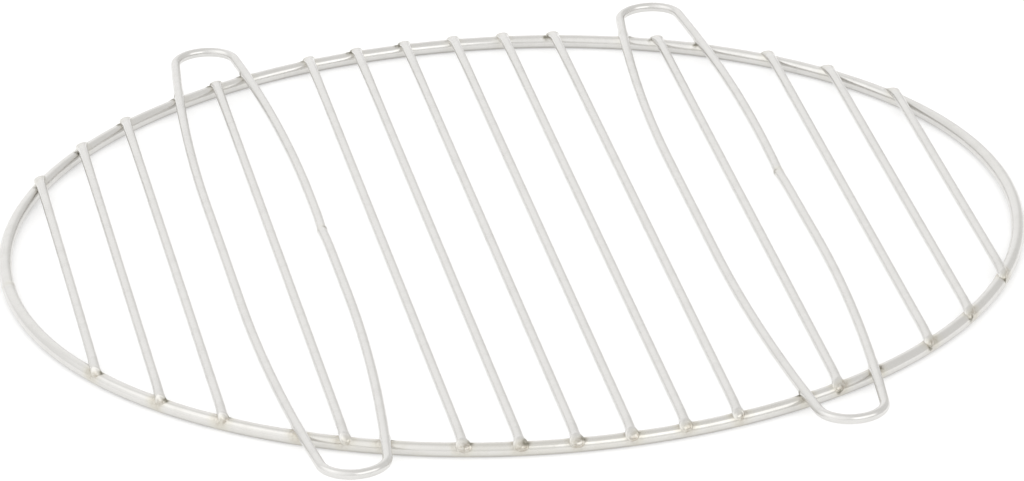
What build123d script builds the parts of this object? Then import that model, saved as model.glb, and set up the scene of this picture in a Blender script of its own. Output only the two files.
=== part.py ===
from build123d import *
from math import cos, floor, hypot, radians, sin, sqrt
import os

# Round grill grate of welded steel wire: a thick round rim, straight cross rods lying on top of it,
# and two long closed loops that stand out past the rim at front and back as lifting ears.
# Millimetres, +Z up, front towards -Y. The origin is the rim's centre on the surface it stands on.

# Driving dimensions
rim_outside_diameter = 370.0
rim_wire = 5.0
rod_wire = 3.5
bar_pitch = 19.0
weld_sink = 0.9
rod_overhang = 1.4
pressed_height = 2.4
press_length = 9.0
end_slope = 38.0
end_sag = 0.7
loop_reach = 31.8
loop_end_radius = 11.5
loop_straight = 88.0

# Levels and radii that follow from them
rim_radius = (rim_outside_diameter - rim_wire) / 2
rim_height = rim_wire / 2
bar_height = rim_wire + rod_wire / 2 - weld_sink
rod_end_radius = rim_radius + rod_overhang

# Bars are evenly pitched each side of the centre line. A loop's two legs take the places either side
# of the rod that it straddles, halfway out to the rim.
places_per_side = floor(rim_radius / bar_pitch - 0.5)
loop_place = places_per_side // 2
leg_places = (loop_place - 1, loop_place + 1)
rod_places = [place for place in range(places_per_side) if place not in leg_places]
rod_distances = [(place + 0.5) * bar_pitch for place in rod_places]
rod_positions = sorted([-distance for distance in rod_distances] + rod_distances)
loop_distance = (loop_place + 0.5) * bar_pitch

# The weld presses a rod's end flat from above, so it spreads sideways and keeps the wire's area. The soft
# end sags over the rim's outer shoulder. Its face is trimmed along the rim, and slopes outwards from its
# top edge to its lowest point.
pressed_width = rod_wire**2 / pressed_height
bar_underside = bar_height - rod_wire / 2
end_top = bar_underside + pressed_height
end_bottom = bar_underside - end_sag
end_middle = (end_top + end_bottom) / 2
end_depth = end_top - end_bottom
end_lean = cos(radians(end_slope))
end_rise = sin(radians(end_slope))

# Each leg of a loop is straight at its waist, then bows in on one large arc that runs smoothly into
# the round end. The bow's radius is the one that makes all three tangent.
leg_offset = bar_pitch
waist_end = loop_straight / 2
loop_tip = sqrt(rim_radius**2 - loop_distance**2) + loop_reach
bend_centre = loop_tip - loop_end_radius
bow_run = bend_centre - waist_end
bow_radius = (leg_offset**2 + bow_run**2 - loop_end_radius**2) / (2 * (leg_offset - loop_end_radius))
bend_start = (
    loop_end_radius * (bow_radius - leg_offset) / (bow_radius - loop_end_radius),
    bend_centre + loop_end_radius * bow_run / (bow_radius - loop_end_radius),
)

os.makedirs("parts", exist_ok=True)

# Rim: round wire closed into a ring
with BuildPart() as rim_ring:
    with BuildSketch(Plane.XZ) as rim_section:
        with Locations((rim_radius, rim_height)):
            Circle(rim_wire / 2)
    revolve(axis=Axis.Z)
rim_ring.part.label = "rim_ring"
export_step(rim_ring.part, "parts/rim_ring.step")

# Cross rods: round wire, pressed flat where it is welded, with a saddle that seats on the rim
for number, rod_x in enumerate(rod_positions, start=1):
    rod_end = sqrt(rod_end_radius**2 - rod_x**2)
    press_start = rod_end - press_length
    rim_across = rod_end / rod_end_radius
    rim_aside = rod_x / rod_end_radius
    trim_reach = hypot(pressed_width * rim_aside, end_depth * end_rise / end_lean) / 2 / rim_across
    with BuildPart() as cross_rod:
        with BuildSketch(Plane.XZ) as middle_section:
            with Locations((rod_x, bar_height)):
                Circle(rod_wire / 2)
        extrude(amount=press_start)
        with BuildSketch(Plane.XZ.offset(press_start)) as round_section:
            with Locations((rod_x, bar_height)):
                Circle(rod_wire / 2)
        with BuildSketch(Plane.XZ.offset(rod_end + trim_reach)) as pressed_section:
            with Locations((rod_x, end_middle)):
                Ellipse(pressed_width / 2, end_depth / 2)
        loft(sections=[round_section.sketch, pressed_section.sketch])
        trim_normal = (rim_aside * end_lean, -rim_across * end_lean, end_rise)
        split(bisect_by=Plane((rod_x, -rod_end, end_middle), z_dir=trim_normal), keep=Keep.BOTTOM)
        mirror(about=Plane.XZ)
        add(rim_ring.part, mode=Mode.SUBTRACT)
    name = f"cross_rod_{number:02d}"
    cross_rod.part.label = name
    export_step(cross_rod.part, f"parts/{name}.step")

# Handle loops: the same wire closed into a long loop, with saddles where it crosses the rim
for name, loop_x in (("handle_loop_left", -loop_distance), ("handle_loop_right", loop_distance)):
    with BuildPart() as handle_loop:
        with BuildLine(Plane((loop_x, 0, bar_height))) as loop_route:
            waist = Line((leg_offset, 0), (leg_offset, waist_end))
            bow = TangentArc(waist @ 1, bend_start, tangent=waist % 1)
            bend = TangentArc(bow @ 1, (0, loop_tip), tangent=bow % 1)
            mirror(about=Plane.YZ.offset(loop_x))
            mirror(about=Plane.XZ)
        with BuildSketch(Plane.XZ) as loop_section:
            with Locations((loop_x + leg_offset, bar_height)):
                Circle(rod_wire / 2)
        sweep(path=loop_route.wires()[0])
        add(rim_ring.part, mode=Mode.SUBTRACT)
    handle_loop.part.label = name
    export_step(handle_loop.part, f"parts/{name}.step")
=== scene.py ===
import math
from typing import NamedTuple

import bpy
import numpy as np
from bpy.props import FloatProperty, FloatVectorProperty, IntProperty, PointerProperty
from bpy.types import Operator, Panel, PropertyGroup
from mathutils import Matrix, Vector


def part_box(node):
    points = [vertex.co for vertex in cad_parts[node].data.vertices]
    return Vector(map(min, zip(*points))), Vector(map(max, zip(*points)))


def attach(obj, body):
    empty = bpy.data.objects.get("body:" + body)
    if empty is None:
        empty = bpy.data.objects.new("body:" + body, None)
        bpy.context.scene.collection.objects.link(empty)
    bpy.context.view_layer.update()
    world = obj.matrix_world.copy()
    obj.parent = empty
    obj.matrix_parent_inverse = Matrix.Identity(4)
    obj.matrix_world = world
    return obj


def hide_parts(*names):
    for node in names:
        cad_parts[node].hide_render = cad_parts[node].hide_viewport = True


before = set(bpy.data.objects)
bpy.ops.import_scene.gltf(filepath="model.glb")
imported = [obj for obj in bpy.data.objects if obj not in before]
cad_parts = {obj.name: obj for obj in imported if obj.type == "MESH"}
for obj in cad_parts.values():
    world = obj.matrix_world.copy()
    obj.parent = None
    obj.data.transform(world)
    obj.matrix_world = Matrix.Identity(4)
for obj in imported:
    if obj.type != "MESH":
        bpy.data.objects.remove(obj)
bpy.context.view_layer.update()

bl_info = {
    "name": "Round Grill Grate",
    "version": (1, 0, 0),
    "blender": (4, 5, 0),
    "location": "View3D > Sidebar > Grate",
    "description": "Builds a round grill grate of plated, spot-welded wire on a pale studio floor",
    "category": "Add Mesh",
}

MM = 0.001
ROOT_BODY = "root"
RIM_NODE = "rim_ring"
ROD_NODES = sorted(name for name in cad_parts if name.startswith("cross_rod_"))
LOOP_NODES = sorted(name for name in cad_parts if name.startswith("handle_loop_"))

# Dark weld spots, one for each weld, partly burnt weld scale and partly painted shade in the crevice
# where the bar meets the rim: millimetres to the right, millimetres outwards along the bar, strength,
# reach in millimetres. A rod's spot is measured from its end, and a loop's from its crossing of the rim.
FRONT_SPOTS = (
    (1.7, 0.6, 0.9, 1.1), (1.7, 0.6, 1.0, 1.1), (2.1, -0.4, 0.8, 1.1), (2.1, -0.6, 0.3, 1.0),
    (2.6, -0.9, 1.0, 1.1), (1.8, -0.8, 1.0, 1.5), (2.1, -0.8, 0.9, 1.3), (2.3, -0.9, 0.6, 1.0),
    (1.3, -0.8, 0.5, 1.2), (1.9, -0.9, 0.2, 1.0), (0.0, 1.3, 0.9, 1.2), (0.0, 1.4, 1.0, 1.3),
    (0.0, 1.6, 1.0, 1.3), (0.0, 1.8, 0.8, 1.2))
BACK_SPOTS = (
    (-2.4, -8.0, 0.7, 1.1), (-2.5, -7.0, 0.9, 1.1), (-2.8, -4.5, 1.0, 1.2), (-2.9, -2.2, 1.0, 1.6),
    (-2.8, -2.2, 0.7, 1.2), (-2.9, -2.2, 1.0, 1.4), (-2.9, -2.2, 1.0, 1.4), (-2.8, -2.2, 0.4, 1.1),
    (-2.7, -2.4, 0.4, 1.0), (-2.9, -2.2, 1.0, 1.4), (-2.8, -1.4, 0.7, 1.2), (-2.7, -0.2, 0.3, 1.0),
    (-2.7, 0.6, 0.4, 1.0), (-2.5, 1.4, 0.5, 1.0))
LOOP_SPOTS = (
    (-2.5, -0.3, 1.0, 1.6), (-2.4, -0.8, 1.0, 1.6), (2.2, -0.2, 0.2, 1.0), (2.3, 0.0, 1.0, 1.4),
    (-2.3, -0.2, 0.8, 1.3), (2.4, 0.0, 1.0, 1.6), (-2.3, 0.2, 1.0, 1.4), (2.3, 0.0, 1.0, 1.3))

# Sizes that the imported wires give
RIM_LOW, RIM_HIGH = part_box(RIM_NODE)
ROD_LOW, ROD_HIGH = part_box(ROD_NODES[0])
LOOP_LOW, LOOP_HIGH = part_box(LOOP_NODES[0])
RIM_WIRE = RIM_HIGH.z - RIM_LOW.z
RIM_OUTSIDE = RIM_HIGH.y - RIM_LOW.y
ROD_WIRE = LOOP_HIGH.z - LOOP_LOW.z
BAR_HEIGHT = (LOOP_HIGH.z + LOOP_LOW.z) / 2
LEG_SPACING = LOOP_HIGH.x - LOOP_LOW.x - ROD_WIRE

# Points round a wire's section, and points that trace a loop's route
RIM_OUTLINE = 40
ROD_OUTLINE = 40
LOOP_OUTLINE = 36
ROUTE_POINTS = 4000

# Rings along half a rod: plain wire, pressed wire, the rounded edge and the end face, which is drawn in to
# a small share of its outline. The trimming plane is met by repeated steps.
PLAIN_RINGS = 24
PRESSED_RINGS = 40
EDGE_RINGS = 8
FACE_RINGS = 9
FACE_MIDDLE = 0.05
TRIM_STEPS = 6

# Closing welds: length of the ridge along the wire, length and depth of the groove in it, and reach of the
# burnt mark. A loop's leg is drawn in there by a short kink and a long bow.
RIM_RIDGE = 1.2 * MM
RIM_GROOVE = 0.35 * MM
LOOP_RIDGE = 1.1 * MM
LOOP_GROOVE = 0.3 * MM
GROOVE_DEPTH = 0.06 * MM
CLOSING_MARK = 1.0 * MM
KINK = 0.35 * MM
KINK_REACH = 9.0 * MM
BOW_REACH = 60.0 * MM

# Melted front ends: length over which an end drops, and where its collar starts and is full
DROP_LENGTH = 3.0 * MM
COLLAR_START = 3.2 * MM
COLLAR_LENGTH = 1.6 * MM

# A rod counts as slanting across the rim below the first cosine, and as square a span above it.
SLANT_COSINE = 0.8
SQUARE_SPAN = 0.15

# Welds on the rim: how far a bar's bead is looked for, height of spatter, and height of a dark weld
# spot's centre above the rim. A distance of one metre stands for no weld nearby.
BEAD_SEARCH = 12 * MM
SPATTER = 0.25 * MM
SPOT_LIFT = 0.4 * MM
FAR_AWAY = 1.0

# Reaches of the heat tints. The front tint is centred past the rod's end and grows towards the right side, a
# painted shade on the nub's right.
RIM_HEAT = 7.0 * MM
BACK_HEAT = 5.0 * MM
FRONT_HEAT = 4.1 * MM
FRONT_HEAT_PAST = 1.0 * MM
FRONT_SHADE_SIDE = 2.0 * MM
LOOP_HEAT = 4.0 * MM
CLOSING_HEAT = 4.0 * MM

# The rim is most straw coloured about this turn from the right side, and fades over a reach in radians.
STRAW_TURN = math.radians(-100.0)
STRAW_REACH = 0.6


class GrateRimSettings(PropertyGroup):
    wire: FloatProperty(
        name="Rim wire", description="Diameter of the rim's round wire",
        default=RIM_WIRE, unit="LENGTH", subtype="DISTANCE")
    outside: FloatProperty(
        name="Outside diameter", description="Diameter over the outside of the rim",
        default=RIM_OUTSIDE, unit="LENGTH", subtype="DISTANCE")
    closing_weld: FloatProperty(
        name="Closing weld", description="Where the wire's two ends meet, turned from the right side",
        default=math.radians(180.8), unit="ROTATION", subtype="ANGLE")
    sections: IntProperty(
        name="Sections", description="Wire sections round the rim", default=1440, min=72)


class GrateRodSettings(PropertyGroup):
    wire: FloatProperty(
        name="Rod wire", description="Diameter of the cross rods' round wire",
        default=ROD_WIRE, unit="LENGTH", subtype="DISTANCE")
    height: FloatProperty(
        name="Axis height", description="Height of the rods' axes above the floor",
        default=BAR_HEIGHT, unit="LENGTH", subtype="DISTANCE")
    end_radius: FloatProperty(
        name="End radius", description="Distance of a rod's end from the grate's centre",
        default=183.9 * MM, unit="LENGTH", subtype="DISTANCE")
    pressed_width: FloatProperty(
        name="Pressed width", description="Width of a rod's tip, where the welding press spread it",
        default=5.1 * MM, unit="LENGTH", subtype="DISTANCE")
    tip_top: FloatProperty(
        name="Tip top", description="Height of the pressed tip's upper side above the floor",
        default=6.5 * MM, unit="LENGTH", subtype="DISTANCE")
    tip_bottom: FloatProperty(
        name="Tip bottom", description="Height of the lowest point of the tip, which sags over the rim",
        default=3.4 * MM, unit="LENGTH", subtype="DISTANCE")
    tip_slope: FloatProperty(
        name="Tip slope", description="Slope of a rod's end face from upright",
        default=math.radians(38.0), unit="ROTATION", subtype="ANGLE")
    trim_share: FloatProperty(
        name="Trim share", description="How much of the rim's slant the melted face of a rod's end keeps",
        default=0.6, min=0.0, max=1.0, subtype="FACTOR")
    press_length: FloatProperty(
        name="Press length", description="Length of wire that the welding press flattened",
        default=9.0 * MM, unit="LENGTH", subtype="DISTANCE")
    end_round: FloatProperty(
        name="End rounding", description="Rounding round the edge of a rod's end face",
        default=0.5 * MM, unit="LENGTH", subtype="DISTANCE")
    front_collar: FloatProperty(
        name="Front collar", description="How far melted metal spreads each side of a rod's front end",
        default=0.5 * MM, unit="LENGTH", subtype="DISTANCE")
    front_flow: FloatProperty(
        name="Front flow", description="How far a rod's melted front end runs out over the rim",
        default=0.8 * MM, unit="LENGTH", subtype="DISTANCE")
    front_drop: FloatProperty(
        name="Front drop", description="How far a rod's melted front end drops in front of the rim's top",
        default=0.7 * MM, unit="LENGTH", subtype="DISTANCE")
    cut_ridge: FloatProperty(
        name="Cut ridge", description="Height of the cutter's ridge on the right outer rods' front ends",
        default=1.0 * MM, unit="LENGTH", subtype="DISTANCE")
    end_dome: FloatProperty(
        name="End dome", description="How far the middle of a rod's end face bulges",
        default=0.7 * MM, unit="LENGTH", subtype="DISTANCE")
    seed: IntProperty(
        name="Seed", description="Picks how the cut ends differ from each other", default=11)


class GrateLoopSettings(PropertyGroup):
    end_radius: FloatProperty(
        name="End radius", description="Radius of the wire's axis round a lifting ear",
        default=11.5 * MM, unit="LENGTH", subtype="DISTANCE")
    straight: FloatProperty(
        name="Straight length", description="Length of the legs' straight part at the waist",
        default=88.0 * MM, unit="LENGTH", subtype="DISTANCE")
    leg_spacing: FloatProperty(
        name="Leg spacing", description="Distance between the axes of a loop's two legs at the waist",
        default=LEG_SPACING, unit="LENGTH", subtype="DISTANCE")
    lean_left: FloatProperty(
        name="Left lean", description="How far the left loop's back ear stands to the right of square",
        default=-1.2 * MM, unit="LENGTH", subtype="DISTANCE")
    lean_right: FloatProperty(
        name="Right lean", description="How far the right loop's back ear stands to the right of square",
        default=1.0 * MM, unit="LENGTH", subtype="DISTANCE")
    bow_left: FloatProperty(
        name="Left leg bow", description="How far the left loop's right leg is drawn in at its weld",
        default=0.1 * MM, unit="LENGTH", subtype="DISTANCE")
    bow_right: FloatProperty(
        name="Right leg bow", description="How far the right loop's right leg is drawn in at its weld",
        default=0.9 * MM, unit="LENGTH", subtype="DISTANCE")
    closing_weld_left: FloatProperty(
        name="Left closing weld", description="Place of the left loop's weld, back from the middle",
        default=11.8 * MM, unit="LENGTH", subtype="DISTANCE")
    closing_weld_right: FloatProperty(
        name="Right closing weld", description="Place of the right loop's weld, back from the middle",
        default=20.7 * MM, unit="LENGTH", subtype="DISTANCE")
    sections: IntProperty(
        name="Sections", description="Wire sections round a loop", default=1800, min=200)


class GrateFinishSettings(PropertyGroup):
    plate: FloatVectorProperty(
        name="Plate", description="Colour of the bright plating", subtype="COLOR",
        default=(0.715, 0.705, 0.688), min=0.0, max=1.0)
    dull_plate: FloatVectorProperty(
        name="Dull plate", description="Colour of the plating's greyer patches", subtype="COLOR",
        default=(0.69, 0.68, 0.662), min=0.0, max=1.0)
    # Painted shade: colour of the rim's underside, darkened towards the floor where it stands
    underside_painted_shade: FloatVectorProperty(
        name="Underside shade", description="Colour of the rim's underside, worn dull where it stands",
        subtype="COLOR", default=(0.40, 0.388, 0.365), min=0.0, max=1.0)
    straw_tint: FloatVectorProperty(
        name="Straw tint", description="Colour of the heat tint round a weld", subtype="COLOR",
        default=(0.675, 0.65, 0.57), min=0.0, max=1.0)
    rose_tint: FloatVectorProperty(
        name="Rose tint", description="Colour of the heat tint nearest to a weld", subtype="COLOR",
        default=(0.46, 0.42, 0.36), min=0.0, max=1.0)
    # Dark weld spots: partly weld scale, partly painted shade in the crevice where the bars meet the rim
    weld_scale_and_crevice_shade: FloatVectorProperty(
        name="Weld scale and crevice shade", description="Colour of the dark scale in a weld's crevice", subtype="COLOR",
        default=(0.26, 0.245, 0.2), min=0.0, max=1.0)
    roughness: FloatProperty(
        name="Roughness", description="Roughness of the plating", default=0.24, min=0.0, max=1.0,
        subtype="FACTOR")
    bead: FloatProperty(
        name="Weld bead", description="How far melted metal stands out where two wires are welded",
        default=0.3 * MM, unit="LENGTH", subtype="DISTANCE")
    bead_reach: FloatProperty(
        name="Bead reach", description="How far from the other wire the bead fades out",
        default=1.3 * MM, unit="LENGTH", subtype="DISTANCE")
    closing_bulge: FloatProperty(
        name="Closing bulge", description="How far a closing weld stands out of its wire",
        default=0.22 * MM, unit="LENGTH", subtype="DISTANCE")


class GrateStageSettings(PropertyGroup):
    floor_colour: FloatVectorProperty(
        name="Floor", description="Colour of the studio floor", subtype="COLOR",
        default=(0.62, 0.62, 0.62), min=0.0, max=1.0)
    floor_lift: FloatProperty(
        name="Floor lift", description="Light added to the floor as it is seen and reflected",
        default=0.476, min=0.0, max=1.0)
    floor_size: FloatProperty(
        name="Floor size", description="Side of the square floor", default=60.0,
        unit="LENGTH", subtype="DISTANCE")
    softbox_distance: FloatProperty(
        name="Softbox distance", description="Distance of both softboxes from the grate", default=1.8,
        unit="LENGTH", subtype="DISTANCE")
    left_power: FloatProperty(
        name="Left softbox power", description="Power of the softbox high on the left", default=0.9,
        unit="POWER")
    front_power: FloatProperty(
        name="Front softbox power", description="Power of the softbox in front on the right", default=4.4,
        unit="POWER")
    aim: FloatVectorProperty(
        name="Aim point", description="Point of the grate at the middle of the picture",
        default=(-0.9 * MM, -7.25 * MM, 2.5 * MM), subtype="XYZ", unit="LENGTH")
    heading: FloatProperty(
        name="Heading", description="Turn of the view from straight back towards the right",
        default=math.radians(8.97), unit="ROTATION", subtype="ANGLE")
    elevation: FloatProperty(
        name="Elevation", description="Height of the camera above the horizon, as an angle",
        default=math.radians(23.66), unit="ROTATION", subtype="ANGLE")
    roll: FloatProperty(
        name="Roll", description="Turn of the camera about its own line of sight",
        default=math.radians(-2.455), unit="ROTATION", subtype="ANGLE")
    distance: FloatProperty(
        name="Distance", description="Distance from the camera to the aim point",
        default=2.5637, unit="LENGTH", subtype="DISTANCE")
    lens: FloatProperty(
        name="Lens", description="Focal length in millimetres on a 36 mm wide sensor",
        default=250.41)


def smooth_step(value):
    """Cubic ramp from 0 to 1: three squares less two cubes of the value held between 0 and 1."""
    held = np.clip(value, 0.0, 1.0)
    return held * held * (3.0 - 2.0 * held)


def hump(offset, reach):
    """Bell curve: e to the minus square of the offset over its reach."""
    return np.exp(-np.square(offset / reach))


def ring_angles(count):
    """Even angles round a wire's section, from its right side over its top."""
    return np.linspace(0.0, 2.0 * np.pi, count, endpoint=False)


def surface_normals(points, closed):
    """Unit normals of a grid of points: the cross product of its two difference directions."""
    if closed:
        along = np.roll(points, -1, axis=0) - np.roll(points, 1, axis=0)
    else:
        along = np.gradient(points, axis=0)
    around = np.roll(points, -1, axis=1) - np.roll(points, 1, axis=1)
    normals = np.cross(along, around)
    length = np.linalg.norm(normals, axis=2, keepdims=True)
    return normals / np.maximum(length, 1e-12)


def rim_gap(points, rim):
    """Distance from points to the rim's surface: how far each lies from the rim's axis circle, less the
    wire's radius."""
    wire_radius = rim.wire / 2
    axis_radius = rim.outside / 2 - wire_radius
    across = np.hypot(points[..., 0], points[..., 1]) - axis_radius
    return np.hypot(across, points[..., 2] - wire_radius) - wire_radius


def wire_faces(rings, around, closed):
    """Quads between neighbouring points of neighbouring rings, each ring closed on itself."""
    ring = np.arange(rings if closed else rings - 1)[:, None]
    step = np.arange(around)[None, :]
    next_ring = (ring + 1) % rings
    next_step = (step + 1) % around
    corners = (ring * around + step, next_ring * around + step,
               next_ring * around + next_step, ring * around + next_step)
    return np.stack(np.broadcast_arrays(*corners), axis=-1).reshape(-1, 4)


def wire_mesh(name, points, closed, attributes):
    """Mesh over a grid of wire sections. An open wire is closed at both ends by a fan to the middle point
    of its last ring."""
    rings, around = points.shape[:2]
    quads = wire_faces(rings, around, closed)
    vertices = points.reshape(-1, 3)
    fans = np.empty((0, 3), dtype=np.int64)
    if not closed:
        tips = np.array([points[0].mean(axis=0), points[-1].mean(axis=0)])
        vertices = np.concatenate([vertices, tips])
        first = np.arange(around)
        after = np.roll(first, -1)
        last_ring = (rings - 1) * around
        first_tip = rings * around
        front = np.stack([np.full(around, first_tip), first, after], axis=1)
        back = np.stack([np.full(around, first_tip + 1), last_ring + after, last_ring + first], axis=1)
        fans = np.concatenate([front, back])
    corners = np.concatenate([quads.ravel(), fans.ravel()])
    starts = np.concatenate([np.arange(len(quads)) * 4, len(quads) * 4 + np.arange(len(fans)) * 3])
    mesh = bpy.data.meshes.new(name)
    mesh.vertices.add(len(vertices))
    mesh.vertices.foreach_set("co", vertices.astype(np.float32).ravel())
    mesh.loops.add(len(corners))
    mesh.loops.foreach_set("vertex_index", corners.astype(np.int32))
    mesh.polygons.add(len(starts))
    mesh.polygons.foreach_set("loop_start", starts.astype(np.int32))
    mesh.update(calc_edges=True)
    mesh.shade_smooth()
    for title, values in attributes.items():
        flat = values.reshape(rings * around, -1)
        if not closed:
            flat = np.concatenate([flat, flat[:1], flat[-1:]])
        kind = "FLOAT" if flat.shape[1] == 1 else "FLOAT_VECTOR"
        field = "value" if kind == "FLOAT" else "vector"
        mesh.attributes.new(title, kind, "POINT").data.foreach_set(field, flat.astype(np.float32).ravel())
    return mesh


def add_wire(mesh, node, material):
    """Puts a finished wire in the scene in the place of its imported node."""
    mesh.materials.append(material)
    piece = bpy.data.objects.new(node + "_finished", mesh)
    bpy.context.scene.collection.objects.link(piece)
    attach(piece, ROOT_BODY)
    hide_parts(node)
    return piece


def loop_route(distance, loops, tip):
    """Points of a loop's axis about its own middle, and its length. The distances are shares of the way
    round, from the right leg's middle. A quarter is a straight waist, then a large arc that bows in, then
    the small arc of the ear: the bow's radius makes all three tangent. The other quarters mirror it."""
    leg = loops.leg_spacing / 2
    waist = loops.straight / 2
    ear = loops.end_radius
    run = tip - ear - waist
    bow = (leg**2 + run**2 - ear**2) / (2 * (leg - ear))
    bow_turn = math.atan2(run, bow - leg)
    bow_end = waist + bow * bow_turn
    quarter = bow_end + ear * (math.pi / 2 - bow_turn)
    turn = np.mod(distance, 1.0) * 4.0
    number = np.floor(turn).astype(int)
    share = np.where(number % 2 == 0, turn - number, 1.0 - (turn - number))
    along = share * quarter
    bow_angle = (along - waist) / bow
    ear_angle = bow_turn + (along - bow_end) / ear
    zones = [along < waist, along < bow_end]
    across = np.select(zones, [leg, leg - bow + bow * np.cos(bow_angle)], ear * np.cos(ear_angle))
    ahead = np.select(zones, [along, waist + bow * np.sin(bow_angle)], tip - ear + ear * np.sin(ear_angle))
    across = np.where((number == 1) | (number == 2), -across, across)
    ahead = np.where(number >= 2, -ahead, ahead)
    return np.stack([across, ahead], axis=-1), 4.0 * quarter


def welded_route(node, rods, loops, share):
    """Axis of a loop as it was welded, in plan, with its length and each point's distance from the closing
    weld. Two bell curves, one narrow and one wide, draw the right leg in at its closing weld. A lean that
    grows as the square of the distance back moves the back ear sideways."""
    low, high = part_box(node)
    closing_weld, lean, bow = loops.closing_weld_right, loops.lean_right, loops.bow_right
    if node == LOOP_NODES[0]:
        closing_weld, lean, bow = loops.closing_weld_left, loops.lean_left, loops.bow_left
    route, length = loop_route(share, loops, high.y - rods.wire / 2)
    from_weld = np.where(route[:, 0] > 0, route[:, 1] - closing_weld, FAR_AWAY)
    aside = lean * np.square(np.maximum(route[:, 1], 0.0) / high.y) + (low.x + high.x) / 2
    aside = aside - KINK * hump(from_weld, KINK_REACH) - bow * hump(from_weld, BOW_REACH)
    return route + np.stack([aside, np.zeros_like(aside)], axis=-1), length, from_weld


def squareness(rods, place):
    """How squarely a rod meets the rim, from 0 to 1: a smooth step of the cosine of the rim's slant."""
    cosine = np.sqrt(1.0 - np.square(place / rods.end_radius))
    return smooth_step((cosine - SLANT_COSINE) / SQUARE_SPAN)


def bar_crossings(rim, rods, loops):
    """Places in plan where the bars' axes cross the rim's axis circle, and the dark weld spot of weld scale
    and painted crevice shade beside each: rods at the front, rods at the back, then each loop's four. A
    spot is its centre, strength and reach."""
    axis_radius = (rim.outside - rim.wire) / 2
    rod_places = np.array([sum(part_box(node), Vector()).x / 2 for node in ROD_NODES])
    rod_reach = np.sqrt(axis_radius**2 - rod_places**2)
    crossings = [np.stack([rod_places, -rod_reach], axis=1), np.stack([rod_places, rod_reach], axis=1)]
    for node in LOOP_NODES:
        route, _, _ = welded_route(node, rods, loops, np.linspace(0.0, 1.0, ROUTE_POINTS, endpoint=False))
        inside = np.hypot(route[:, 0], route[:, 1]) < axis_radius
        crossings.append(route[inside != np.roll(inside, 1)])
    crossings = np.concatenate(crossings)
    spots = np.array(FRONT_SPOTS + BACK_SPOTS + LOOP_SPOTS)
    if len(crossings) != len(spots):
        raise RuntimeError("Each crossing of the rim should have one burnt spot")
    rod_past = np.sqrt(rods.end_radius**2 - rod_places**2) - rod_reach
    flow = rods.front_flow * squareness(rods, rod_places) * spots[:len(rod_places), 2]
    past = np.concatenate([rod_past + flow, rod_past, np.zeros(len(LOOP_SPOTS))])
    plan = crossings.copy()
    plan[:, 0] += spots[:, 0] * MM
    plan[:, 1] += np.sign(crossings[:, 1]) * (past + spots[:, 1] * MM)
    across = np.clip(np.linalg.norm(plan, axis=1) - axis_radius, -rim.wire / 2, rim.wire / 2)
    height = rim.wire / 2 + np.sqrt((rim.wire / 2)**2 - across**2) + SPOT_LIFT
    return crossings, np.column_stack([plan, height, spots[:, 2], spots[:, 3] * MM])


def spot_scale_and_shade(points, spots):
    """Share of the dark weld spots, weld scale and painted crevice shade: the largest of the spots' bell
    curves at each point.
    """
    share = np.zeros(points.shape[:-1])
    for spot in spots:
        share = np.maximum(share, spot[3] * hump(np.linalg.norm(points - spot[:3], axis=-1), spot[4]))
    return share


def wire_coordinates(along, points, centre):
    """Vector for finishes that follow a wire: length along it, then the place across its section."""
    offset = points - centre
    level = np.hypot(offset[..., 0], offset[..., 1])
    return np.stack([np.broadcast_to(along[:, None], level.shape), level, offset[..., 2]], axis=-1)


def rim_mesh(rim, rods, loops, finish):
    """Ring of round wire: a circle of the wire's radius carried round the rim's axis circle. Near each bar
    the surface rises by the weld's bead, and at the back by spatter on its dark weld spot. A ridge with a
    groove in it crosses the wire's inner side at its closing weld."""
    wire_radius = rim.wire / 2
    axis_radius = rim.outside / 2 - wire_radius
    turn = ring_angles(rim.sections)
    section = ring_angles(RIM_OUTLINE)
    outward = np.stack([np.cos(turn), np.sin(turn), np.zeros_like(turn)], axis=-1)
    centre = outward * axis_radius + np.array([0.0, 0.0, wire_radius])
    from_weld = np.angle(np.exp(1j * (turn - rim.closing_weld))) * axis_radius
    upset = finish.closing_bulge * hump(from_weld, RIM_RIDGE) - GROOVE_DEPTH * hump(from_weld, RIM_GROOVE)
    spread = np.cos(section)[None, :, None] * outward[:, None, :]
    rise = np.sin(section)[None, :, None] * np.array([0.0, 0.0, 1.0])
    free_side = smooth_step(0.5 - 1.2 * np.cos(section)) * smooth_step(1.0 + np.sin(section))
    radius = wire_radius + upset[:, None] * free_side[None, :]
    points = centre[:, None, :] + radius[..., None] * (spread + rise)
    crossings, spots = bar_crossings(rim, rods, loops)
    gap = np.full(points.shape[:2], FAR_AWAY)
    reach = np.full(points.shape[:2], FAR_AWAY)
    for place in crossings:
        near = np.hypot(points[..., 0] - place[0], points[..., 1] - place[1])
        bar = np.hypot(points[..., 0] - place[0], points[..., 2] - rods.height) - rods.wire / 2
        gap = np.minimum(gap, np.where(near < BEAD_SEARCH, np.abs(bar), FAR_AWAY))
        reach = np.minimum(reach, np.hypot(near, points[..., 2] - rim.wire))
    bead = hump(gap, finish.bead_reach)
    spatter = np.where(points[..., 1] > 0, SPATTER * spot_scale_and_shade(points, spots), 0.0)
    points = points + surface_normals(points, True) * (0.4 * finish.bead * bead + spatter)[..., None]
    from_straw = np.angle(np.exp(1j * (turn - STRAW_TURN)))
    straw = 0.35 + 0.2 * hump(from_straw, STRAW_REACH)
    ring_heat = np.maximum(straw, 0.6 * hump(from_weld, CLOSING_HEAT))
    bar_heat = hump(reach, RIM_HEAT) * np.where(points[..., 1] > 0, 0.65, 1.0)
    attributes = {
        "wire": wire_coordinates(turn * axis_radius, points, np.array([0.0, 0.0, wire_radius])),
        "crevice": spot_scale_and_shade(points, spots),
        "heat_tint_and_shade": np.maximum(bar_heat, ring_heat[:, None]),
    }
    return wire_mesh("rim", points, True, attributes)


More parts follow.
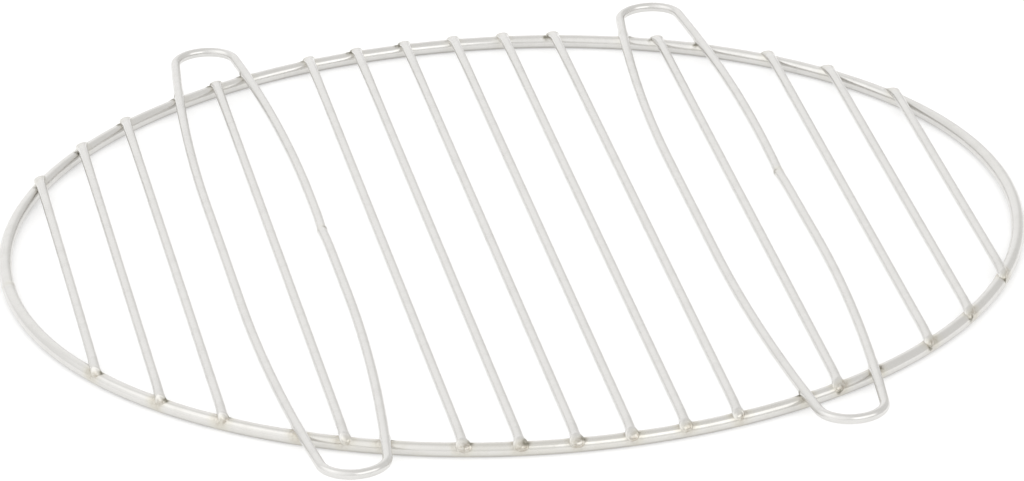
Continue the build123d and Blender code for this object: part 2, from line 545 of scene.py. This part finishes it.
class EndShape(NamedTuple):
    """How a rod's end was cut, pressed and melted: the share of the pressed width that it reaches, how late
    it widens, how high the cutter's ridge stands, and how far it spreads as a collar, flows out over the rim
    and drops."""
    spread: float
    flare: float
    ridge: float
    collar: float
    flow: float
    drop: float


def rod_half(rods, axis, lengthwise, outline, dome, tilt, shape):
    """One half of a rod, from its middle to its tip. Its section is a circle that changes evenly into a low
    oval over the pressed length. A sloping plane that faces out across the rim trims it: each line along
    the rod stops on that plane, and the end face is drawn in from the outline towards its middle and bulges
    there. The cutter's ridge stands highest on the face's upright middle line and falls evenly to both
    sides. A collar widens the section by a smooth step just before the end, where a melted end flows on and
    drops."""
    section = ring_angles(outline)
    radius = rods.wire / 2
    end = math.sqrt(rods.end_radius**2 - axis**2) + shape.flow
    press_start = end - shape.flow - rods.press_length
    aside = rods.trim_share * axis / rods.end_radius
    across = math.sqrt(1.0 - aside**2)
    depth = rods.tip_top - rods.tip_bottom
    middle = (rods.tip_top + rods.tip_bottom) / 2
    slope = math.tan(rods.tip_slope + tilt)
    reach = math.hypot(rods.pressed_width * aside, depth * slope) / 2 / across

    def section_at(along, size):
        """Place across and height of the section's outline at a distance along the rod."""
        press = np.clip((along - press_start) / (end + reach - press_start), 0.0, 1.0)
        level = rods.height + (middle - rods.height) * press
        level = level - shape.drop * smooth_step((along - end) / DROP_LENGTH + 1.0)
        half_width = radius + (rods.pressed_width / 2 - radius) * shape.spread * press**shape.flare
        collar = smooth_step((along - end + COLLAR_START) / COLLAR_LENGTH)
        half_width = half_width + shape.collar * across**2 * collar
        half_height = radius + (depth / 2 - radius) * press
        return np.cos(section) * half_width * size, level + np.sin(section) * half_height * size

    def trimmed(size):
        """Where the lines along the rod meet the trimming plane, for an outline drawn in by a size."""
        along = np.full(outline, end)
        for _ in range(TRIM_STEPS):
            offset, height = section_at(along, size)
            along = end - (aside * offset + slope * (height - middle + shape.drop)) / across
        return along

    tip = trimmed(1.0)
    corner = np.linspace(0.0, np.pi / 2, EDGE_RINGS)[1:]
    edge_size = 1.0 - (1.0 - np.cos(corner)) * rods.end_round / radius
    face_size = np.linspace(edge_size[-1], FACE_MIDDLE, FACE_RINGS)[1:]
    straight = np.broadcast_to(lengthwise[:, None] * press_start, (len(lengthwise), outline))
    pressed_share = np.linspace(0.0, 1.0, PRESSED_RINGS)[1:, None]
    pressed = press_start + pressed_share * (tip - rods.end_round - press_start)
    rows = [np.concatenate([straight, pressed])]
    sizes = [np.ones(len(lengthwise) + len(pressed))]
    for turn, size in zip(corner, edge_size):
        ridge = shape.ridge * math.sin(turn) * (1.0 - np.abs(np.cos(section)) * size)
        rows.append((trimmed(size) - rods.end_round * (1.0 - math.sin(turn)) + ridge)[None, :])
        sizes.append(np.array([size]))
    for size in face_size:
        ridge = shape.ridge * (1.0 - np.abs(np.cos(section)) * size)
        rows.append((trimmed(size) + dome * (1.0 - (size / edge_size[-1]) ** 2) + ridge)[None, :])
        sizes.append(np.array([size]))
    along = np.concatenate(rows)
    size = np.concatenate(sizes)
    offset, height = section_at(along, size[:, None])
    return np.stack([axis + offset, along, height], axis=-1)


def rod_mesh(node, rim, rods, finish, spots, chance):
    """Straight rod: two halves with pressed, trimmed ends. Where a rod meets the rim squarely and its weld
    was hot, the front end melted. Near the rim the surface flows out as a weld does: it moves along its
    normal by a bell curve of its distance from the rim."""
    low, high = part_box(node)
    axis = (low.x + high.x) / 2
    lengthwise = np.linspace(0.0, 1.0, PLAIN_RINGS)
    strength = spots[ROD_NODES.index(node), 3]
    square = squareness(rods, axis)
    melt = square * strength
    ridge = rods.cut_ridge * (1.0 - square) if axis > 0 else 0.0
    front_end = EndShape(
        spread=0.2 + 0.8 * melt, flare=5.0, ridge=ridge, collar=rods.front_collar * melt,
        flow=rods.front_flow * melt, drop=rods.front_drop * melt)
    back_end = EndShape(spread=1.0, flare=2.0, ridge=0.0, collar=0.0, flow=0.0, drop=0.0)
    halves = []
    for shape in (front_end, back_end):
        dome = rods.end_dome * chance.uniform(0.6, 1.3)
        tilt = chance.uniform(-0.12, 0.12)
        halves.append(rod_half(rods, axis, lengthwise, ROD_OUTLINE, dome, tilt, shape))
    front = halves[0] * np.array([1.0, -1.0, 1.0])
    points = np.concatenate([front[:0:-1], halves[1]])
    gap = np.abs(rim_gap(points, rim))
    bead = finish.bead * hump(gap, finish.bead_reach) * chance.uniform(0.4, 0.8)
    points = points + surface_normals(points, False) * bead[..., None]
    points[..., 2] = np.minimum(points[..., 2], high.z)
    outwards = np.hypot(points[..., 0], points[..., 1])
    from_back = np.hypot(outwards - (rim.outside - rim.wire) / 2, points[..., 2] - rim.wire)
    from_front = np.hypot(outwards - rods.end_radius - FRONT_HEAT_PAST, points[..., 2] - rods.tip_bottom)
    # Painted shade: the front tint grows towards the nub's right side, so that side reads darker as if lit
    # from the left
    darker_right = np.clip((points[..., 0] - axis) / FRONT_SHADE_SIDE, -1.0, 1.0)
    back_heat = 0.6 * hump(from_back, BACK_HEAT)
    front_tint_and_shade = (0.8 + 0.3 * strength + 0.25 * darker_right) * hump(from_front, FRONT_HEAT)
    along = points[..., 1].mean(axis=1)
    attributes = {
        "wire": wire_coordinates(along + axis * 3.0, points, np.array([axis, 0.0, rods.height])),
        "crevice": spot_scale_and_shade(points, spots),
        "heat_tint_and_shade": np.where(points[..., 1] > 0, back_heat, front_tint_and_shade),
    }
    return wire_mesh(node, points, False, attributes)


def loop_mesh(node, rim, rods, loops, finish):
    """Closed loop: the rod wire's circle carried along the loop's route. Its underside flows out where it
    crosses the rim, and its right leg has a low ridge at the closing weld, burnt on one side."""
    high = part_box(node)[1]
    radius = rods.wire / 2
    share = np.linspace(0.0, 1.0, loops.sections, endpoint=False)
    route, length, from_weld = welded_route(node, rods, loops, share)
    ahead = np.roll(route, -1, axis=0) - np.roll(route, 1, axis=0)
    ahead = ahead / np.linalg.norm(ahead, axis=1, keepdims=True)
    outward = np.stack([ahead[:, 1], -ahead[:, 0], np.zeros(len(ahead))], axis=-1)
    centre = np.concatenate([route, np.full((len(route), 1), rods.height)], axis=1)
    section = ring_angles(LOOP_OUTLINE)
    ridge = finish.closing_bulge * hump(from_weld, LOOP_RIDGE) - GROOVE_DEPTH * hump(from_weld, LOOP_GROOVE)
    off_top = smooth_step(1.3 - 1.6 * np.sin(section))
    size = radius + ridge[:, None] * off_top[None, :]
    spread = np.cos(section)[None, :, None] * outward[:, None, :]
    rise = np.sin(section)[None, :, None] * np.array([0.0, 0.0, 1.0])
    points = centre[:, None, :] + size[..., None] * (spread + rise)
    gap = np.abs(rim_gap(points, rim))
    bead = finish.bead * hump(gap, finish.bead_reach)
    points = points + surface_normals(points, True) * bead[..., None]
    points[..., 2] = np.minimum(points[..., 2], high.z)
    from_rim = np.hypot(np.hypot(points[..., 0], points[..., 1]) - (rim.outside - rim.wire) / 2,
                        points[..., 2] - rim.wire)
    offset = size[..., None] * np.stack(np.broadcast_arrays(np.cos(section), np.sin(section)), axis=-1)
    along = np.broadcast_to((share * length)[:, None, None], offset.shape[:2] + (1,))
    burnt_share = -np.cos(section)
    if node == LOOP_NODES[0]:
        burnt_share = 0.4 + 0.8 * np.cos(section)
    closing_scale = 0.7 * hump(from_weld, CLOSING_MARK)[:, None] * smooth_step(burnt_share)[None, :]
    crossing_heat = 0.5 * hump(from_rim, LOOP_HEAT)
    closing_heat = 0.6 * hump(from_weld, CLOSING_HEAT)
    attributes = {
        "wire": np.concatenate([along, offset], axis=-1),
        "crevice": np.maximum(spot_scale_and_shade(points, bar_crossings(rim, rods, loops)[1]), closing_scale),
        "heat_tint_and_shade": np.maximum(crossing_heat, closing_heat[:, None]),
    }
    return wire_mesh(node, points, True, attributes)


def add_node(tree, kind, **inputs):
    """New shader node with values set on its input sockets, by socket name with spaces as underscores."""
    node = tree.nodes.new(kind)
    for title, value in inputs.items():
        node.inputs[title.replace("_", " ")].default_value = value
    return node


def named_attribute(tree, title):
    """Attribute node that reads a field stored on the wire's own mesh."""
    node = tree.nodes.new("ShaderNodeAttribute")
    node.attribute_name = title
    return node


def ramp(tree, source, low, high, to_low=0.0, to_high=1.0):
    """Smooth ramp: the source between low and high becomes a value between to_low and to_high."""
    node = add_node(tree, "ShaderNodeMapRange", From_Min=low, From_Max=high, To_Min=to_low, To_Max=to_high)
    node.interpolation_type = "SMOOTHSTEP"
    tree.links.new(source, node.inputs["Value"])
    return node.outputs["Result"]


def combine(tree, operation, first, second):
    """Shader value that a math operation makes of two others."""
    node = tree.nodes.new("ShaderNodeMath")
    node.operation = operation
    tree.links.new(first, node.inputs[0])
    tree.links.new(second, node.inputs[1])
    return node.outputs[0]


def mix_colour(tree, share, first, second):
    """Colour between first and second. Each is a socket or a plain colour."""
    node = tree.nodes.new("ShaderNodeMix")
    node.data_type = "RGBA"
    tree.links.new(share, node.inputs["Factor"])
    for socket, value in ((node.inputs[6], first), (node.inputs[7], second)):
        if isinstance(value, bpy.types.NodeSocket):
            tree.links.new(value, socket)
        else:
            socket.default_value = (*value, 1.0)
    return node.outputs[2]


def noise(tree, vector, scale, detail=3.0, roughness=0.5):
    """Noise value between 0 and 1 over a vector."""
    node = add_node(tree, "ShaderNodeTexNoise", Scale=scale, Detail=detail, Roughness=roughness)
    tree.links.new(vector, node.inputs["Vector"])
    return node.outputs["Fac"]


def plated_wire_material(finish):
    """Bright plating over drawn wire. Patches of duller plate and fine lines along the wire break the
    gloss. The rim's underside darkens towards the floor, a painted shade where it stands. Near a weld,
    straw and rose heat tints show, heavier on a front end's right side as painted shade, and the crevice
    darkens with dark weld scale and painted crevice shade."""
    material = bpy.data.materials.get("plated_wire_finish")
    if material is not None:
        return material
    material = bpy.data.materials.new("plated_wire_finish")
    material.use_nodes = True
    tree = material.node_tree
    shader = tree.nodes["Principled BSDF"]
    shader.inputs["Metallic"].default_value = 1.0
    place = tree.nodes.new("ShaderNodeTexCoord").outputs["Object"]
    wire = named_attribute(tree, "wire").outputs["Vector"]
    heat = named_attribute(tree, "heat_tint_and_shade").outputs["Fac"]
    crevice = named_attribute(tree, "crevice").outputs["Fac"]

    patches = noise(tree, place, scale=140.0, detail=4.0, roughness=0.6)
    grain = noise(tree, place, scale=900.0, detail=2.0, roughness=0.6)
    stretch = add_node(tree, "ShaderNodeMapping", Scale=(0.06, 1.0, 1.0))
    tree.links.new(wire, stretch.inputs["Vector"])
    lines = noise(tree, stretch.outputs["Vector"], scale=3500.0, detail=3.0, roughness=0.6)

    plate = mix_colour(tree, ramp(tree, patches, 0.4, 0.75), finish.plate, finish.dull_plate)
    height = tree.nodes.new("ShaderNodeSeparateXYZ")
    tree.links.new(place, height.inputs["Vector"])
    # Painted shade: the colour darkens towards the floor below 1.8 mm height, on the rim's underside
    underside_shade_share = ramp(tree, height.outputs["Z"], 0.3 * MM, 1.8 * MM, 0.9, 0.0)
    plate = mix_colour(tree, underside_shade_share, plate, finish.underside_painted_shade)
    straw_heat = ramp(tree, heat, 0.25, 0.9, 0.0, 0.8)
    straw_share = combine(tree, "MULTIPLY", straw_heat, ramp(tree, patches, 0.3, 0.6, 0.4, 1.0))
    tinted = mix_colour(tree, straw_share, plate, finish.straw_tint)
    rose_heat = ramp(tree, heat, 0.6, 1.0, 0.0, 0.9)
    rose_share = combine(tree, "MULTIPLY", rose_heat, ramp(tree, grain, 0.35, 0.65, 0.3, 1.0))
    rosy = mix_colour(tree, rose_share, tinted, finish.rose_tint)
    # Dark weld spots: partly weld scale, partly painted shade in the crevice where the bars meet the rim
    scale_and_shade_spot = ramp(tree, crevice, 0.1, 0.8)
    scale_and_shade_share = combine(tree, "MULTIPLY", scale_and_shade_spot, ramp(tree, grain, 0.3, 0.6, 0.35, 1.0))
    colour = mix_colour(tree, scale_and_shade_share, rosy, finish.weld_scale_and_crevice_shade)
    tree.links.new(colour, shader.inputs["Base Color"])

    dull = ramp(tree, patches, 0.35, 0.75, finish.roughness - 0.03, finish.roughness + 0.04)
    rough = combine(tree, "ADD", dull, ramp(tree, crevice, 0.2, 0.9, 0.0, 0.35))
    tree.links.new(rough, shader.inputs["Roughness"])

    drawn = add_node(tree, "ShaderNodeBump", Strength=0.1, Distance=0.03 * MM)
    tree.links.new(lines, drawn.inputs["Height"])
    pitted = add_node(tree, "ShaderNodeBump", Strength=0.1, Distance=0.03 * MM)
    tree.links.new(grain, pitted.inputs["Height"])
    tree.links.new(drawn.outputs["Normal"], pitted.inputs["Normal"])
    lumpy = add_node(tree, "ShaderNodeBump", Strength=0.5, Distance=0.25 * MM)
    tree.links.new(combine(tree, "MULTIPLY", patches, heat), lumpy.inputs["Height"])
    tree.links.new(pitted.outputs["Normal"], lumpy.inputs["Normal"])
    tree.links.new(lumpy.outputs["Normal"], shader.inputs["Normal"])
    return material


def floor_material(stage):
    """Matt pale floor that keeps shadows. Seen, reflected or through glass, it is lifted towards white."""
    material = bpy.data.materials.new("studio_floor")
    material.use_nodes = True
    tree = material.node_tree
    shader = tree.nodes["Principled BSDF"]
    shader.inputs["Base Color"].default_value = (*stage.floor_colour, 1.0)
    shader.inputs["Roughness"].default_value = 0.9
    shader.inputs["Specular IOR Level"].default_value = 0.1
    path = tree.nodes.new("ShaderNodeLightPath")
    shown = path.outputs["Is Camera Ray"]
    for title in ("Is Glossy Ray", "Is Transmission Ray"):
        shown = combine(tree, "MAXIMUM", shown, path.outputs[title])
    lift = tree.nodes.new("ShaderNodeMath")
    lift.operation = "MULTIPLY"
    tree.links.new(shown, lift.inputs[0])
    lift.inputs[1].default_value = stage.floor_lift
    tree.links.new(lift.outputs[0], shader.inputs["Emission Strength"])
    shader.inputs["Emission Color"].default_value = (1.0, 1.0, 1.0, 1.0)
    return material


def studio_world():
    """Soft room light by direction: bright high on the left and low behind the grate, dim overhead and at
    the right."""
    world = bpy.data.worlds.new("studio_room")
    world.use_nodes = True
    tree = world.node_tree
    background = tree.nodes["Background"]
    direction = tree.nodes.new("ShaderNodeTexCoord").outputs["Generated"]

    def towards(vector):
        """How closely a direction of view lies to a given one: the cosine between them."""
        node = tree.nodes.new("ShaderNodeVectorMath")
        node.operation = "DOT_PRODUCT"
        node.inputs[1].default_value = vector
        tree.links.new(direction, node.inputs[0])
        return node.outputs["Value"]

    darker_right = ramp(tree, towards((0.94, 0.34, 0.0)), 0.0, 0.75)
    walls = mix_colour(tree, darker_right, (0.96, 0.96, 0.955), (0.84, 0.835, 0.825))
    behind = ramp(tree, towards((-0.09, 0.93, 0.36)), 0.82, 0.99)
    room = mix_colour(tree, behind, walls, (1.10, 1.10, 1.095))
    overhead = ramp(tree, towards((0.0, 0.0, 1.0)), 0.7, 0.96)
    sky = mix_colour(tree, overhead, room, (0.88, 0.875, 0.865))
    left_side = ramp(tree, towards((-0.76, -0.22, 0.61)), 0.55, 0.95)
    sky = mix_colour(tree, left_side, sky, (1.2, 1.2, 1.195))
    tree.links.new(sky, background.inputs["Color"])
    return world


class GRATE_OT_make_rim(Operator):
    """Build the rim: a closed ring of thick round wire"""
    bl_idname = "grate.make_rim"
    bl_label = "Make Rim"

    def execute(self, context):
        scene = context.scene
        mesh = rim_mesh(scene.grate_rim, scene.grate_rods, scene.grate_loops, scene.grate_finish)
        add_wire(mesh, RIM_NODE, plated_wire_material(scene.grate_finish))
        return {"FINISHED"}


class GRATE_OT_make_rods(Operator):
    """Build the straight cross rods that lie on the rim"""
    bl_idname = "grate.make_rods"
    bl_label = "Make Cross Rods"

    def execute(self, context):
        scene = context.scene
        if not ROD_NODES:
            raise RuntimeError("The packed grate has no cross rods")
        chance = np.random.default_rng(scene.grate_rods.seed)
        _, spots = bar_crossings(scene.grate_rim, scene.grate_rods, scene.grate_loops)
        for node in ROD_NODES:
            mesh = rod_mesh(node, scene.grate_rim, scene.grate_rods, scene.grate_finish, spots, chance)
            add_wire(mesh, node, plated_wire_material(scene.grate_finish))
        return {"FINISHED"}


class GRATE_OT_make_loops(Operator):
    """Build the two long closed loops whose ends are the lifting ears"""
    bl_idname = "grate.make_loops"
    bl_label = "Make Handle Loops"

    def execute(self, context):
        scene = context.scene
        if len(LOOP_NODES) != 2:
            raise RuntimeError("The packed grate should have two handle loops")
        for node in LOOP_NODES:
            mesh = loop_mesh(node, scene.grate_rim, scene.grate_rods, scene.grate_loops, scene.grate_finish)
            add_wire(mesh, node, plated_wire_material(scene.grate_finish))
        return {"FINISHED"}


class GRATE_OT_make_stage(Operator):
    """Build the studio: floor, soft light, room and camera"""
    bl_idname = "grate.make_stage"
    bl_label = "Make Stage"

    def execute(self, context):
        scene = context.scene
        stage = scene.grate_stage
        half = stage.floor_size / 2
        mesh = bpy.data.meshes.new("studio_floor")
        corners = [(-half, -half, 0), (half, -half, 0), (half, half, 0), (-half, half, 0)]
        mesh.from_pydata(corners, [], [(0, 1, 2, 3)])
        mesh.materials.append(floor_material(stage))
        floor = bpy.data.objects.new("studio_floor", mesh)
        scene.collection.objects.link(floor)

        for title, towards, size, power in (
                ("left_softbox", (-0.70, 0.12, 0.70), (1.6, 0.9), stage.left_power),
                ("front_softbox", (0.44, -0.68, 0.59), (2.0, 1.1), stage.front_power)):
            light = bpy.data.lights.new(title, "AREA")
            light.shape = "RECTANGLE"
            light.size, light.size_y = size
            light.energy = power
            softbox = bpy.data.objects.new(title, light)
            softbox.location = Vector(towards).normalized() * stage.softbox_distance
            softbox.rotation_euler = (-softbox.location).to_track_quat("-Z", "Y").to_euler()
            softbox.visible_camera = False
            scene.collection.objects.link(softbox)

        scene.world = studio_world()
        scene.view_settings.view_transform = "Standard"

        forward = Vector((math.sin(stage.heading) * math.cos(stage.elevation),
                          math.cos(stage.heading) * math.cos(stage.elevation),
                          -math.sin(stage.elevation)))
        level_right = forward.cross(Vector((0.0, 0.0, 1.0))).normalized()
        level_up = level_right.cross(forward)
        right = math.cos(stage.roll) * level_right + math.sin(stage.roll) * level_up
        up = right.cross(forward)
        lens = bpy.data.cameras.new("photo_view")
        lens.lens = stage.lens
        lens.sensor_width = 36.0
        lens.clip_end = 100.0
        camera = bpy.data.objects.new("photo_view", lens)
        turn = Matrix((right, up, -forward)).transposed().to_4x4()
        camera.matrix_world = Matrix.Translation(Vector(stage.aim) - forward * stage.distance) @ turn
        scene.collection.objects.link(camera)
        scene.camera = camera
        return {"FINISHED"}


class GRATE_PT_sidebar(Panel):
    """Lists the grate's pieces and their sizes"""
    bl_idname = "GRATE_PT_sidebar"
    bl_label = "Round Grill Grate"
    bl_space_type = "VIEW_3D"
    bl_region_type = "UI"
    bl_category = "Grate"

    def draw(self, context):
        scene = context.scene
        for step, settings in ((GRATE_OT_make_rim, scene.grate_rim), (GRATE_OT_make_rods, scene.grate_rods),
                               (GRATE_OT_make_loops, scene.grate_loops), (None, scene.grate_finish),
                               (GRATE_OT_make_stage, scene.grate_stage)):
            box = self.layout.box()
            for title in settings.bl_rna.properties.keys():
                if title not in ("rna_type", "name"):
                    box.prop(settings, title)
            if step is not None:
                box.operator(step.bl_idname)


SETTINGS = {
    "grate_rim": GrateRimSettings,
    "grate_rods": GrateRodSettings,
    "grate_loops": GrateLoopSettings,
    "grate_finish": GrateFinishSettings,
    "grate_stage": GrateStageSettings,
}
CLASSES = (*SETTINGS.values(), GRATE_OT_make_rim, GRATE_OT_make_rods, GRATE_OT_make_loops,
           GRATE_OT_make_stage, GRATE_PT_sidebar)


def register():
    for cls in CLASSES:
        bpy.utils.register_class(cls)
    for title, group in SETTINGS.items():
        setattr(bpy.types.Scene, title, PointerProperty(type=group))


def unregister():
    for title in SETTINGS:
        delattr(bpy.types.Scene, title)
    for cls in reversed(CLASSES):
        bpy.utils.unregister_class(cls)


def main():
    register()
    bpy.ops.grate.make_rim()
    bpy.ops.grate.make_rods()
    bpy.ops.grate.make_loops()
    bpy.ops.grate.make_stage()


if __name__ == "__main__":
    main()
